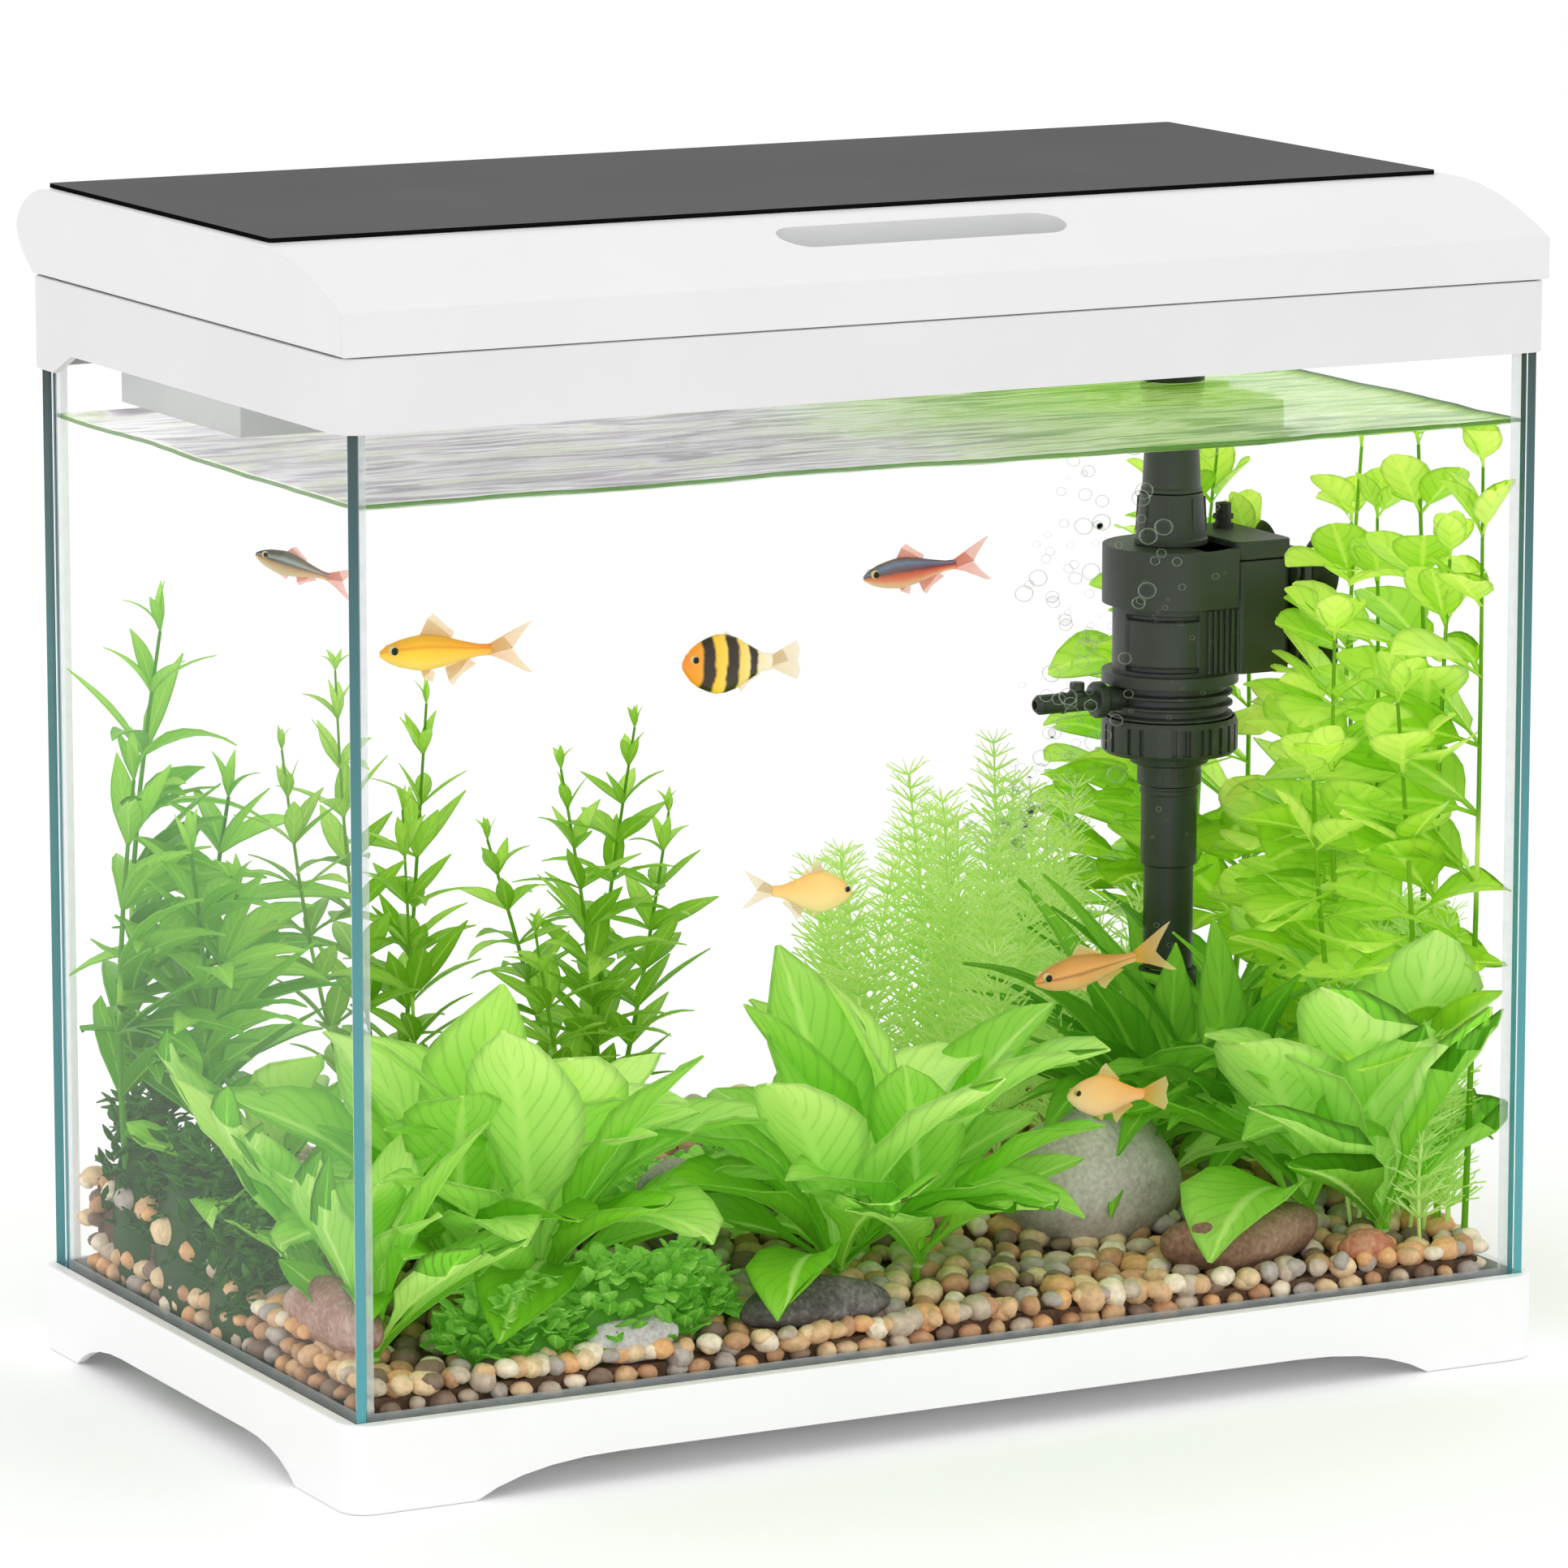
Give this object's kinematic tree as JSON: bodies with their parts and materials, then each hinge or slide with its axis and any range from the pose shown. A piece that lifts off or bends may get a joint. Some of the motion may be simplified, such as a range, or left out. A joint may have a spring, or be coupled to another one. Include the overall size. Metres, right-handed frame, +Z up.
{
  "type": "aquarium on stand",
  "caption": "Rectangular glass aquarium on a footed white base, with a hinged white hood with a lamp and finger recess, a submersible pump filter, gravel, rocks and plants.",
  "frame": {"origin": "centre of the bounding box, at the level of the feet's undersides", "axes": "+X to the right along the long front, +Y from the front towards the back, +Z up"},
  "size_m": [0.4088, 0.2426, 0.3671],
  "materials": {
    "base_frame": "smooth white moulded ABS",
    "top_frame": "smooth white moulded ABS",
    "lid_shell": "smooth white moulded ABS",
    "foam_mat": "soft black foam",
    "glass_front": "clear float glass with a teal edge",
    "glass_back": "clear float glass with a teal edge",
    "glass_left": "clear float glass with a teal edge",
    "glass_right": "clear float glass with a teal edge",
    "glass_bottom": "clear float glass with a teal edge",
    "silicone_seal": "clear silicone",
    "cable_grommet": "black rubber",
    "pump_gland": "black rubber",
    "gravel_bed": "rounded river pebbles",
    "rock_boulder": "rough grey",
    "rock_brown": "banded brown",
    "rock_orange": "orange brown",
    "rock_small_grey": "grey",
    "rock_flat_grey": "dark grey",
    "rock_white": "pale",
    "rock_slab": "pink brown",
    "plant_lance_left": "green leaves",
    "plant_stem_corner": "green leaves",
    "plant_stem_centre": "green leaves",
    "plant_feather_centre": "green leaves",
    "plant_feather_right": "green leaves",
    "plant_round_right": "green leaves",
    "plant_round_back": "green leaves",
    "plant_grass": "green leaves",
    "plant_broad_left": "green leaves",
    "plant_broad_side": "green leaves",
    "plant_broad_centre": "green leaves",
    "plant_broad_right": "green leaves",
    "plant_carpet": "green leaves",
    "plant_moss": "green leaves",
    "lid_panel": "smooth dark grey sheet",
    "hinge_pin_left": "drawn rod",
    "hinge_pin_right": "drawn rod",
    "led_housing": "white",
    "led_board": "white circuit board",
    "led_lens": "frosted diffuser",
    "filter_tray": "black",
    "filter_sponge": "open cell foam",
    "outlet_elbow": "satin black",
    "pump_body": "satin black",
    "pump_head": "satin black",
    "outlet_collar": "satin black",
    "riser_tube": "satin black",
    "union_nut": "satin black",
    "intake_adapter": "satin black",
    "intake_tube": "satin black",
    "intake_strainer": "satin black",
    "air_nozzle": "satin black",
    "air_regulator": "satin black",
    "suction_bracket": "satin black",
    "impeller": "black magnet rotor",
    "impeller_shaft": "polished",
    "suction_cup_1": "black rubber",
    "suction_cup_2": "black rubber",
    "suction_cup_3": "black rubber",
    "suction_cup_4": "black rubber"
  },
  "bodies": {
    "tank": {"base_frame": "base_frame", "top_frame": "top_frame", "foam_mat": "foam_mat", "glass_front": "glass_front", "glass_back": "glass_back", "glass_left": "glass_left", "glass_right": "glass_right", "glass_bottom": "glass_bottom", "silicone_seal": "silicone_seal", "cable_grommet": "cable_grommet", "pump_gland": "pump_gland", "gravel_bed": "gravel_bed", "rock_boulder": "rock_boulder", "rock_brown": "rock_brown", "rock_orange": "rock_orange", "rock_small_grey": "rock_small_grey", "rock_flat_grey": "rock_flat_grey", "rock_white": "rock_white", "rock_slab": "rock_slab", "plant_lance_left": "plant_lance_left", "plant_stem_corner": "plant_stem_corner", "plant_stem_centre": "plant_stem_centre", "plant_feather_centre": "plant_feather_centre", "plant_feather_right": "plant_feather_right", "plant_round_right": "plant_round_right", "plant_round_back": "plant_round_back", "plant_grass": "plant_grass", "plant_broad_left": "plant_broad_left", "plant_broad_side": "plant_broad_side", "plant_broad_centre": "plant_broad_centre", "plant_broad_right": "plant_broad_right", "plant_carpet": "plant_carpet", "plant_moss": "plant_moss", "filter_tray": "filter_tray", "filter_sponge": "filter_sponge", "outlet_elbow": "outlet_elbow", "pump_body": "pump_body", "pump_head": "pump_head", "outlet_collar": "outlet_collar", "riser_tube": "riser_tube", "intake_adapter": "intake_adapter", "intake_tube": "intake_tube", "air_nozzle": "air_nozzle", "suction_bracket": "suction_bracket", "impeller_shaft": "impeller_shaft", "suction_cup_1": "suction_cup_1", "suction_cup_2": "suction_cup_2", "suction_cup_3": "suction_cup_3", "suction_cup_4": "suction_cup_4"},
    "lid": {"lid_shell": "lid_shell", "lid_panel": "lid_panel", "hinge_pin_left": "hinge_pin_left", "hinge_pin_right": "hinge_pin_right", "led_housing": "led_housing", "led_board": "led_board", "led_lens": "led_lens"},
    "impeller": {"impeller": "impeller"},
    "union_nut": {"union_nut": "union_nut"},
    "air_regulator": {"air_regulator": "air_regulator"},
    "intake_strainer": {"intake_strainer": "intake_strainer"}
  },
  "joints": [
    {"name": "lid_hinge", "type": "hinge", "parent": "tank", "child": "lid", "pos_m": [0, 0.11265, 0.348], "axis": [-1, 0, 0], "range_deg": [0, 92]},
    {"name": "impeller_spin", "type": "hinge", "parent": "tank", "child": "impeller", "pos_m": [0.1518, 0.02115, 0.2], "axis": [0, 0, 1], "continuous": true},
    {"name": "union_nut_turn", "type": "hinge", "parent": "tank", "child": "union_nut", "pos_m": [0.1518, 0.02115, 0.18], "axis": [0, 0, 1], "range_deg": [0, 360]},
    {"name": "air_regulator_turn", "type": "hinge", "parent": "tank", "child": "air_regulator", "pos_m": [0.1176, 0.02115, 0.198], "axis": [0, 0, 1], "range_deg": [0, 270]},
    {"name": "strainer_pull_off", "type": "slide", "parent": "tank", "child": "intake_strainer", "axis": [0, 0, -1], "range_m": [0, 0.022]}
  ]
}
